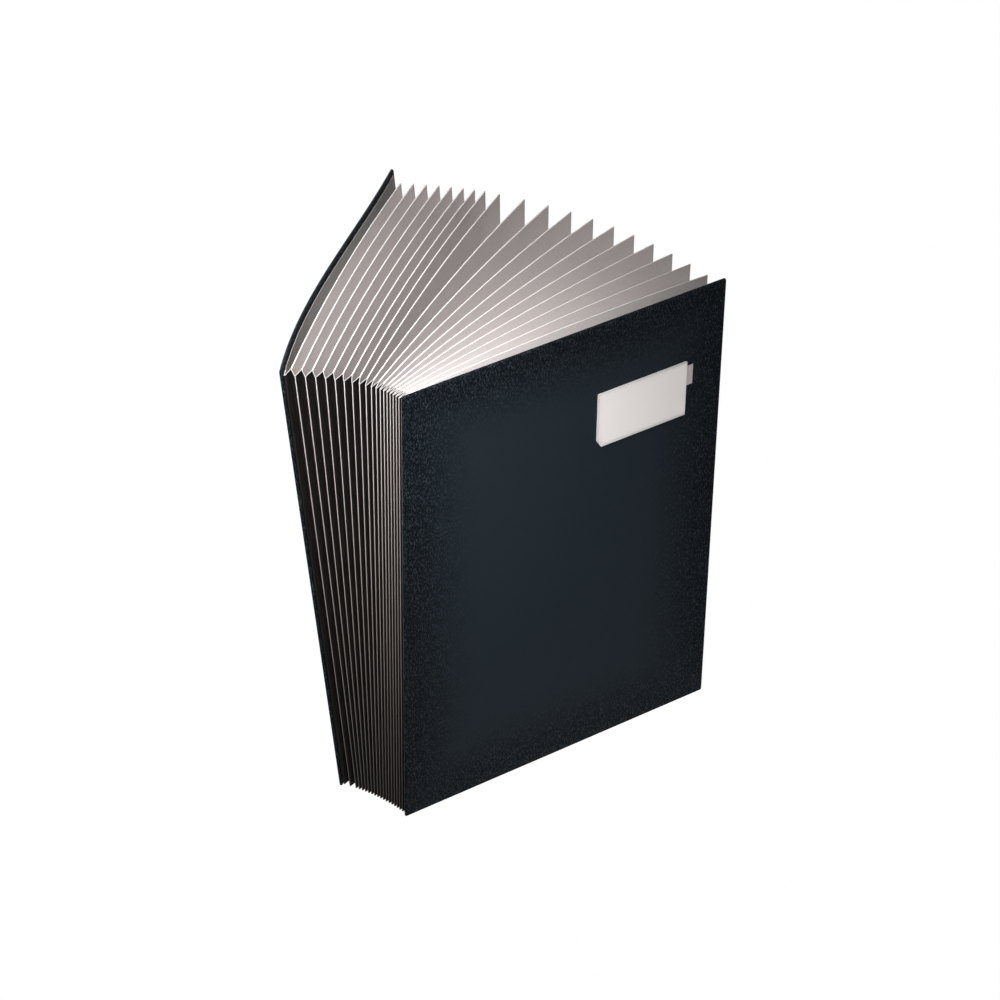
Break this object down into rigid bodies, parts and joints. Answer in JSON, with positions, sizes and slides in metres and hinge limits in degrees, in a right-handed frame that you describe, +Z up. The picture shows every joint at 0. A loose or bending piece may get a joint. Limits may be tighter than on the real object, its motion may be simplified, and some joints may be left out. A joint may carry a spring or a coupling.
{
  "type": "signature book",
  "caption": "Signature book standing fanned open: stiff leatherette covers, card leaves held in a pleated strip at the spine, and a clear label holder on the front.",
  "frame": {"origin": "under the middle of the standing book, on the floor", "axes": "+Z up along the spine; the front cover stands parallel to XZ and faces -Y, with its fore edge towards +X"},
  "size_m": [0.2886, 0.2248, 0.34],
  "materials": {
    "leatherette": "fine grained, semi-matt",
    "lining": "matt",
    "clear_film": "clear film, slightly hazy",
    "label": "matt",
    "pleats": "matt, dark",
    "leaf": "matt"
  },
  "bodies": {
    "leaf_block": {"pleated_spine": "pleats", "leaf_01": "leaf", "leaf_02": "leaf", "leaf_03": "leaf", "leaf_04": "leaf", "leaf_05": "leaf", "leaf_06": "leaf", "leaf_07": "leaf", "leaf_08": "leaf", "leaf_09": "leaf", "leaf_10": "leaf", "leaf_11": "leaf", "leaf_12": "leaf", "leaf_13": "leaf", "leaf_14": "leaf", "leaf_15": "leaf", "leaf_16": "leaf", "leaf_17": "leaf", "leaf_18": "leaf", "leaf_19": "leaf"},
    "front_cover": {"front_cover": "leatherette", "front_lining": "lining", "label_pocket": "clear_film", "label_card": "label"},
    "back_cover": {"back_cover": "leatherette", "back_lining": "lining"}
  },
  "joints": [
    {"name": "front_cover_hinge", "type": "hinge", "parent": "leaf_block", "child": "front_cover", "pos_m": [-0.09459, -0.10979, 0], "axis": [0, 0, -1], "range_deg": [0, 140]},
    {"name": "back_cover_hinge", "type": "hinge", "parent": "leaf_block", "child": "back_cover", "pos_m": [-0.11504, -0.06115, 0], "axis": [-0.0822, 0.0389, 0.9959], "range_deg": [0, 180]}
  ]
}
